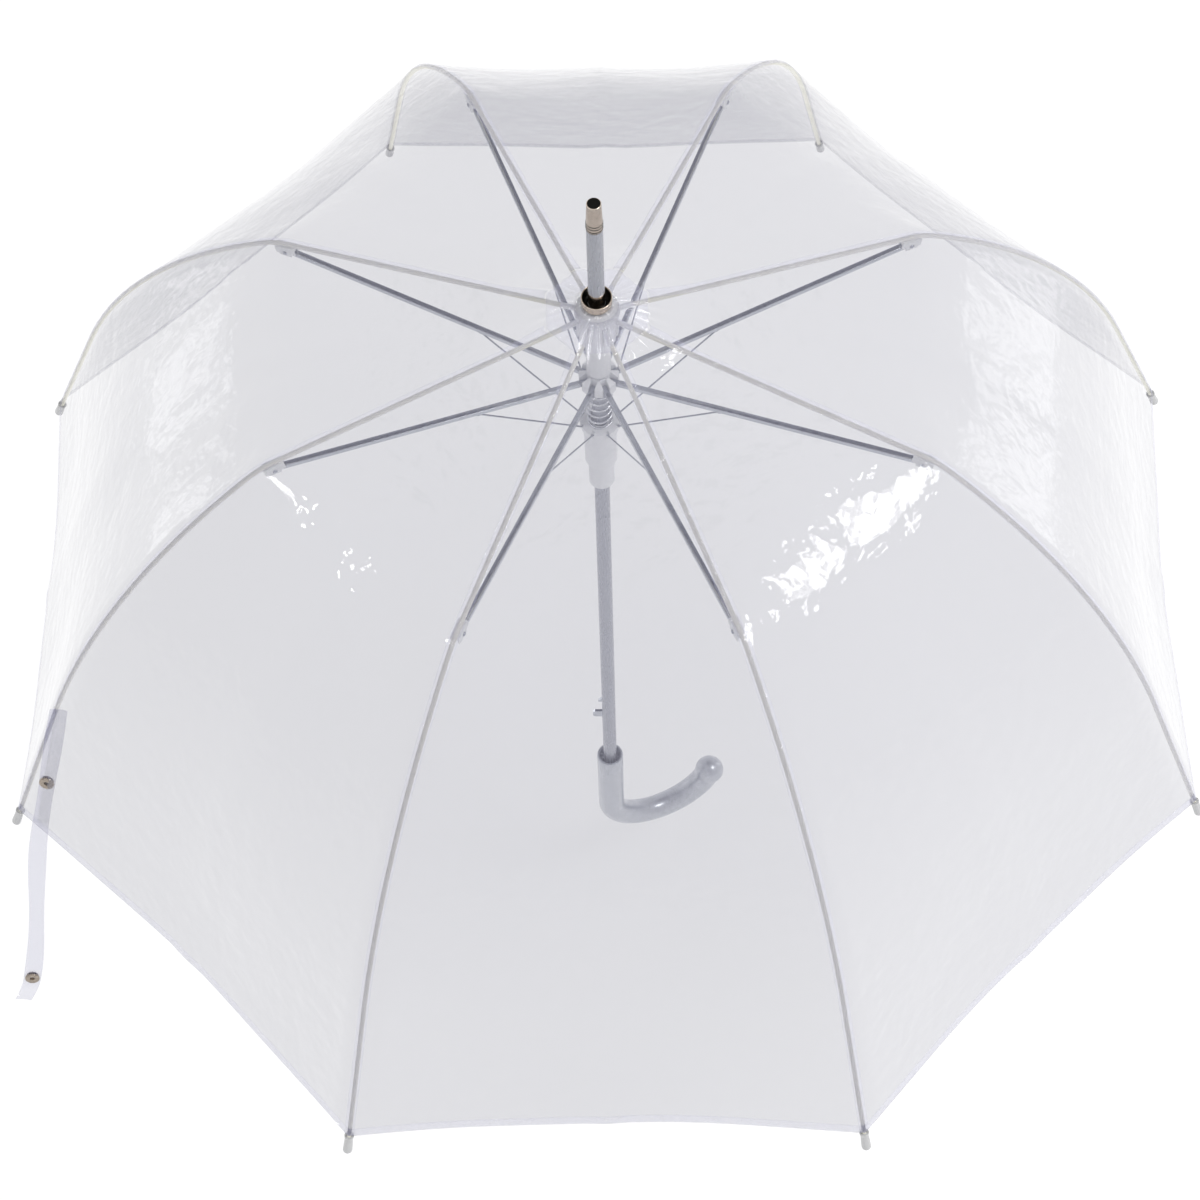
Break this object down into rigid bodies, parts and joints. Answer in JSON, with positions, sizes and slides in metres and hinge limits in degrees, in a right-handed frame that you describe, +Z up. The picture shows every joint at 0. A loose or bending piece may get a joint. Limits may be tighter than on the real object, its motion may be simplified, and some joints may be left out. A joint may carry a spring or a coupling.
{
  "type": "stick umbrella",
  "caption": "Open clear dome umbrella: ribs, stretchers and strut wires on a sliding runner, tubular shaft with latch, crook handle and closing strap.",
  "frame": {"origin": "on the shaft's axis in the middle of the hand grip", "axes": "+Z up the shaft to the ferrule, +X the way the crook turns"},
  "size_m": [0.8879, 0.8474, 0.8086],
  "materials": {
    "shaft_steel": "light grey enamelled steel tube",
    "nickel": "bright nickel plate with a warm cast",
    "spring_steel": "bright rolled steel",
    "white_plastic": "milky moulded plastic",
    "glassfibre": "off-white drawn glass fibre rod",
    "handle_silver": "glossy silver-grey lacquer",
    "clear_film": "clear soft vinyl film"
  },
  "bodies": {
    "root": {"shaft_tube": "shaft_steel", "ferrule_cap": "nickel", "top_cup": "nickel", "crown": "white_plastic", "canopy": "clear_film", "crook_handle": "handle_silver"},
    "hub": {"hub": "white_plastic", "runner_spring": "spring_steel"},
    "runner": {"runner": "white_plastic"},
    "latch": {"latch": "spring_steel"},
    "strap": {"closing_strap": "clear_film", "press_stud": "nickel"},
    "rib_root_1": {"rib_root_1": "glassfibre"},
    "rib_middle_1": {"rib_middle_1": "glassfibre"},
    "rib_end_1": {"rib_end_1": "glassfibre", "rib_tip_1": "white_plastic"},
    "stretcher_1": {"stretcher_1": "spring_steel"},
    "wire_1": {"strut_wire_1": "spring_steel"},
    "rib_root_2": {"rib_root_2": "glassfibre"},
    "rib_middle_2": {"rib_middle_2": "glassfibre"},
    "rib_end_2": {"rib_end_2": "glassfibre", "rib_tip_2": "white_plastic"},
    "stretcher_2": {"stretcher_2": "spring_steel"},
    "wire_2": {"strut_wire_2": "spring_steel"},
    "rib_root_3": {"rib_root_3": "glassfibre"},
    "rib_middle_3": {"rib_middle_3": "glassfibre"},
    "rib_end_3": {"rib_end_3": "glassfibre", "rib_tip_3": "white_plastic"},
    "stretcher_3": {"stretcher_3": "spring_steel"},
    "wire_3": {"strut_wire_3": "spring_steel"},
    "rib_root_4": {"rib_root_4": "glassfibre"},
    "rib_middle_4": {"rib_middle_4": "glassfibre"},
    "rib_end_4": {"rib_end_4": "glassfibre", "rib_tip_4": "white_plastic"},
    "stretcher_4": {"stretcher_4": "spring_steel"},
    "wire_4": {"strut_wire_4": "spring_steel"},
    "rib_root_5": {"rib_root_5": "glassfibre"},
    "rib_middle_5": {"rib_middle_5": "glassfibre"},
    "rib_end_5": {"rib_end_5": "glassfibre", "rib_tip_5": "white_plastic"},
    "stretcher_5": {"stretcher_5": "spring_steel"},
    "wire_5": {"strut_wire_5": "spring_steel"},
    "rib_root_6": {"rib_root_6": "glassfibre"},
    "rib_middle_6": {"rib_middle_6": "glassfibre"},
    "rib_end_6": {"rib_end_6": "glassfibre", "rib_tip_6": "white_plastic"},
    "stretcher_6": {"stretcher_6": "spring_steel"},
    "wire_6": {"strut_wire_6": "spring_steel"},
    "rib_root_7": {"rib_root_7": "glassfibre"},
    "rib_middle_7": {"rib_middle_7": "glassfibre"},
    "rib_end_7": {"rib_end_7": "glassfibre", "rib_tip_7": "white_plastic"},
    "stretcher_7": {"stretcher_7": "spring_steel"},
    "wire_7": {"strut_wire_7": "spring_steel"},
    "rib_root_8": {"rib_root_8": "glassfibre"},
    "rib_middle_8": {"rib_middle_8": "glassfibre"},
    "rib_end_8": {"rib_end_8": "glassfibre", "rib_tip_8": "white_plastic"},
    "stretcher_8": {"stretcher_8": "spring_steel"},
    "wire_8": {"strut_wire_8": "spring_steel"}
  },
  "joints": [
    {"name": "fold", "type": "hinge", "parent": "root", "child": "rib_root_1", "pos_m": [0.009, 0, 0.595], "axis": [0, 1, 0], "range_deg": [0, 80.46], "stiffness_Nm_per_rad": 0.9, "springref_deg": -57.3, "deforming": ["canopy"]},
    {"name": "knee_flex_1", "type": "hinge", "parent": "rib_root_1", "child": "rib_middle_1", "pos_m": [0.21553, 0, 0.57156], "axis": [0, 1, 0], "range_deg": [-33.62, 0]},
    {"name": "bow_flex_1", "type": "hinge", "parent": "rib_middle_1", "child": "rib_end_1", "pos_m": [0.32854, 0, 0.4656], "axis": [0, 1, 0], "range_deg": [-21.76, 0]},
    {"name": "rib_joint_1", "type": "hinge", "parent": "rib_root_1", "child": "stretcher_1", "pos_m": [0.206, 0, 0.569], "axis": [0, 1, 0], "range_deg": [-160.93, 0]},
    {"name": "wire_pivot_1", "type": "hinge", "parent": "stretcher_1", "child": "wire_1", "pos_m": [0.07777, 0, 0.54925], "axis": [0, 1, 0], "range_deg": [0, 31.48]},
    {"name": "hub_pivot", "type": "hinge", "parent": "stretcher_1", "child": "hub", "pos_m": [0.009, 0, 0.543], "axis": [0, 1, 0], "range_deg": [0, 80.47]},
    {"name": "runner_slide", "type": "slide", "parent": "hub", "child": "runner", "axis": [0, 0, 1], "range_m": [0, 0.03127], "deforming": ["runner_spring"]},
    {"name": "rib_2_turn", "type": "hinge", "parent": "root", "child": "rib_root_2", "pos_m": [0.00636, 0.00636, 0.595], "axis": [-0.7071, 0.7071, 0], "range_deg": [0, 80.46]},
    {"name": "knee_flex_2", "type": "hinge", "parent": "rib_root_2", "child": "rib_middle_2", "pos_m": [0.1524, 0.1524, 0.57156], "axis": [-0.7071, 0.7071, 0], "range_deg": [-33.62, 0]},
    {"name": "bow_flex_2", "type": "hinge", "parent": "rib_middle_2", "child": "rib_end_2", "pos_m": [0.23231, 0.23231, 0.4656], "axis": [-0.7071, 0.7071, 0], "range_deg": [-21.76, 0]},
    {"name": "rib_joint_2", "type": "hinge", "parent": "rib_root_2", "child": "stretcher_2", "pos_m": [0.14566, 0.14566, 0.569], "axis": [-0.7071, 0.7071, 0], "range_deg": [-160.93, 0]},
    {"name": "wire_pivot_2", "type": "hinge", "parent": "stretcher_2", "child": "wire_2", "pos_m": [0.05499, 0.05499, 0.54925], "axis": [-0.7071, 0.7071, 0], "range_deg": [0, 31.48]},
    {"name": "rib_3_turn", "type": "hinge", "parent": "root", "child": "rib_root_3", "pos_m": [0, 0.009, 0.595], "axis": [-1, 0, 0], "range_deg": [0, 80.46]},
    {"name": "knee_flex_3", "type": "hinge", "parent": "rib_root_3", "child": "rib_middle_3", "pos_m": [0, 0.21553, 0.57156], "axis": [-1, 0, 0], "range_deg": [-33.62, 0]},
    {"name": "bow_flex_3", "type": "hinge", "parent": "rib_middle_3", "child": "rib_end_3", "pos_m": [0, 0.32854, 0.4656], "axis": [-1, 0, 0], "range_deg": [-21.76, 0]},
    {"name": "rib_joint_3", "type": "hinge", "parent": "rib_root_3", "child": "stretcher_3", "pos_m": [0, 0.206, 0.569], "axis": [-1, 0, 0], "range_deg": [-160.93, 0]},
    {"name": "wire_pivot_3", "type": "hinge", "parent": "stretcher_3", "child": "wire_3", "pos_m": [0, 0.07777, 0.54925], "axis": [-1, 0, 0], "range_deg": [0, 31.48]},
    {"name": "rib_4_turn", "type": "hinge", "parent": "root", "child": "rib_root_4", "pos_m": [-0.00636, 0.00636, 0.595], "axis": [-0.7071, -0.7071, 0], "range_deg": [0, 80.46]},
    {"name": "knee_flex_4", "type": "hinge", "parent": "rib_root_4", "child": "rib_middle_4", "pos_m": [-0.1524, 0.1524, 0.57156], "axis": [-0.7071, -0.7071, 0], "range_deg": [-33.62, 0]},
    {"name": "bow_flex_4", "type": "hinge", "parent": "rib_middle_4", "child": "rib_end_4", "pos_m": [-0.23231, 0.23231, 0.4656], "axis": [-0.7071, -0.7071, 0], "range_deg": [-21.76, 0]},
    {"name": "rib_joint_4", "type": "hinge", "parent": "rib_root_4", "child": "stretcher_4", "pos_m": [-0.14566, 0.14566, 0.569], "axis": [-0.7071, -0.7071, 0], "range_deg": [-160.93, 0]},
    {"name": "wire_pivot_4", "type": "hinge", "parent": "stretcher_4", "child": "wire_4", "pos_m": [-0.05499, 0.05499, 0.54925], "axis": [-0.7071, -0.7071, 0], "range_deg": [0, 31.48]},
    {"name": "rib_5_turn", "type": "hinge", "parent": "root", "child": "rib_root_5", "pos_m": [-0.009, 0, 0.595], "axis": [0, -1, 0], "range_deg": [0, 80.46]},
    {"name": "knee_flex_5", "type": "hinge", "parent": "rib_root_5", "child": "rib_middle_5", "pos_m": [-0.21553, 0, 0.57156], "axis": [0, -1, 0], "range_deg": [-33.62, 0]},
    {"name": "bow_flex_5", "type": "hinge", "parent": "rib_middle_5", "child": "rib_end_5", "pos_m": [-0.32854, 0, 0.4656], "axis": [0, -1, 0], "range_deg": [-21.76, 0]},
    {"name": "rib_joint_5", "type": "hinge", "parent": "rib_root_5", "child": "stretcher_5", "pos_m": [-0.206, 0, 0.569], "axis": [0, -1, 0], "range_deg": [-160.93, 0]},
    {"name": "wire_pivot_5", "type": "hinge", "parent": "stretcher_5", "child": "wire_5", "pos_m": [-0.07777, 0, 0.54925], "axis": [0, -1, 0], "range_deg": [0, 31.48]},
    {"name": "strap_hang", "type": "hinge", "parent": "rib_end_5", "child": "strap", "pos_m": [-0.36328, -0.0045, 0.38764], "axis": [-0.237, 0.0097, -0.9715], "range_deg": [0, 55.37]},
    {"name": "rib_6_turn", "type": "hinge", "parent": "root", "child": "rib_root_6", "pos_m": [-0.00636, -0.00636, 0.595], "axis": [0.7071, -0.7071, 0], "range_deg": [0, 80.46]},
    {"name": "knee_flex_6", "type": "hinge", "parent": "rib_root_6", "child": "rib_middle_6", "pos_m": [-0.1524, -0.1524, 0.57156], "axis": [0.7071, -0.7071, 0], "range_deg": [-33.62, 0]},
    {"name": "bow_flex_6", "type": "hinge", "parent": "rib_middle_6", "child": "rib_end_6", "pos_m": [-0.23231, -0.23231, 0.4656], "axis": [0.7071, -0.7071, 0], "range_deg": [-21.76, 0]},
    {"name": "rib_joint_6", "type": "hinge", "parent": "rib_root_6", "child": "stretcher_6", "pos_m": [-0.14566, -0.14566, 0.569], "axis": [0.7071, -0.7071, 0], "range_deg": [-160.93, 0]},
    {"name": "wire_pivot_6", "type": "hinge", "parent": "stretcher_6", "child": "wire_6", "pos_m": [-0.05499, -0.05499, 0.54925], "axis": [0.7071, -0.7071, 0], "range_deg": [0, 31.48]},
    {"name": "rib_7_turn", "type": "hinge", "parent": "root", "child": "rib_root_7", "pos_m": [0, -0.009, 0.595], "axis": [1, 0, 0], "range_deg": [0, 80.46]},
    {"name": "knee_flex_7", "type": "hinge", "parent": "rib_root_7", "child": "rib_middle_7", "pos_m": [0, -0.21553, 0.57156], "axis": [1, 0, 0], "range_deg": [-33.62, 0]},
    {"name": "bow_flex_7", "type": "hinge", "parent": "rib_middle_7", "child": "rib_end_7", "pos_m": [0, -0.32854, 0.4656], "axis": [1, 0, 0], "range_deg": [-21.76, 0]},
    {"name": "rib_joint_7", "type": "hinge", "parent": "rib_root_7", "child": "stretcher_7", "pos_m": [0, -0.206, 0.569], "axis": [1, 0, 0], "range_deg": [-160.93, 0]},
    {"name": "wire_pivot_7", "type": "hinge", "parent": "stretcher_7", "child": "wire_7", "pos_m": [0, -0.07777, 0.54925], "axis": [1, 0, 0], "range_deg": [0, 31.48]},
    {"name": "rib_8_turn", "type": "hinge", "parent": "root", "child": "rib_root_8", "pos_m": [0.00636, -0.00636, 0.595], "axis": [0.7071, 0.7071, 0], "range_deg": [0, 80.46]},
    {"name": "knee_flex_8", "type": "hinge", "parent": "rib_root_8", "child": "rib_middle_8", "pos_m": [0.1524, -0.1524, 0.57156], "axis": [0.7071, 0.7071, 0], "range_deg": [-33.62, 0]},
    {"name": "bow_flex_8", "type": "hinge", "parent": "rib_middle_8", "child": "rib_end_8", "pos_m": [0.23231, -0.23231, 0.4656], "axis": [0.7071, 0.7071, 0], "range_deg": [-21.76, 0]},
    {"name": "rib_joint_8", "type": "hinge", "parent": "rib_root_8", "child": "stretcher_8", "pos_m": [0.14566, -0.14566, 0.569], "axis": [0.7071, 0.7071, 0], "range_deg": [-160.93, 0]},
    {"name": "wire_pivot_8", "type": "hinge", "parent": "stretcher_8", "child": "wire_8", "pos_m": [0.05499, -0.05499, 0.54925], "axis": [0.7071, 0.7071, 0], "range_deg": [0, 31.48]},
    {"name": "latch_press", "type": "slide", "parent": "root", "child": "latch", "axis": [0.9239, -0.3827, 0], "range_m": [0, 0.003], "stiffness_N_per_m": 800, "springref_m": -0.0015}
  ],
  "couplings": [
    {"joint": "knee_flex_1", "follows": "fold", "ratio": -0.41779},
    {"joint": "bow_flex_1", "follows": "fold", "ratio": -0.27032},
    {"joint": "rib_joint_1", "follows": "fold", "ratio": -2},
    {"joint": "wire_pivot_1", "follows": "fold", "ratio": 0.39119},
    {"joint": "hub_pivot", "follows": "fold", "ratio": 1},
    {"joint": "runner_slide", "follows": "fold", "m_per_rad": 0.022196},
    {"joint": "rib_2_turn", "follows": "fold", "ratio": 1},
    {"joint": "knee_flex_2", "follows": "fold", "ratio": -0.41779},
    {"joint": "bow_flex_2", "follows": "fold", "ratio": -0.27032},
    {"joint": "rib_joint_2", "follows": "fold", "ratio": -2},
    {"joint": "wire_pivot_2", "follows": "fold", "ratio": 0.39119},
    {"joint": "rib_3_turn", "follows": "fold", "ratio": 1},
    {"joint": "knee_flex_3", "follows": "fold", "ratio": -0.41779},
    {"joint": "bow_flex_3", "follows": "fold", "ratio": -0.27032},
    {"joint": "rib_joint_3", "follows": "fold", "ratio": -2},
    {"joint": "wire_pivot_3", "follows": "fold", "ratio": 0.39119},
    {"joint": "rib_4_turn", "follows": "fold", "ratio": 1},
    {"joint": "knee_flex_4", "follows": "fold", "ratio": -0.41779},
    {"joint": "bow_flex_4", "follows": "fold", "ratio": -0.27032},
    {"joint": "rib_joint_4", "follows": "fold", "ratio": -2},
    {"joint": "wire_pivot_4", "follows": "fold", "ratio": 0.39119},
    {"joint": "rib_5_turn", "follows": "fold", "ratio": 1},
    {"joint": "knee_flex_5", "follows": "fold", "ratio": -0.41779},
    {"joint": "bow_flex_5", "follows": "fold", "ratio": -0.27032},
    {"joint": "rib_joint_5", "follows": "fold", "ratio": -2},
    {"joint": "wire_pivot_5", "follows": "fold", "ratio": 0.39119},
    {"joint": "strap_hang", "follows": "fold", "ratio": 0.68801},
    {"joint": "rib_6_turn", "follows": "fold", "ratio": 1},
    {"joint": "knee_flex_6", "follows": "fold", "ratio": -0.41779},
    {"joint": "bow_flex_6", "follows": "fold", "ratio": -0.27032},
    {"joint": "rib_joint_6", "follows": "fold", "ratio": -2},
    {"joint": "wire_pivot_6", "follows": "fold", "ratio": 0.39119},
    {"joint": "rib_7_turn", "follows": "fold", "ratio": 1},
    {"joint": "knee_flex_7", "follows": "fold", "ratio": -0.41779},
    {"joint": "bow_flex_7", "follows": "fold", "ratio": -0.27032},
    {"joint": "rib_joint_7", "follows": "fold", "ratio": -2},
    {"joint": "wire_pivot_7", "follows": "fold", "ratio": 0.39119},
    {"joint": "rib_8_turn", "follows": "fold", "ratio": 1},
    {"joint": "knee_flex_8", "follows": "fold", "ratio": -0.41779},
    {"joint": "bow_flex_8", "follows": "fold", "ratio": -0.27032},
    {"joint": "rib_joint_8", "follows": "fold", "ratio": -2},
    {"joint": "wire_pivot_8", "follows": "fold", "ratio": 0.39119}
  ]
}
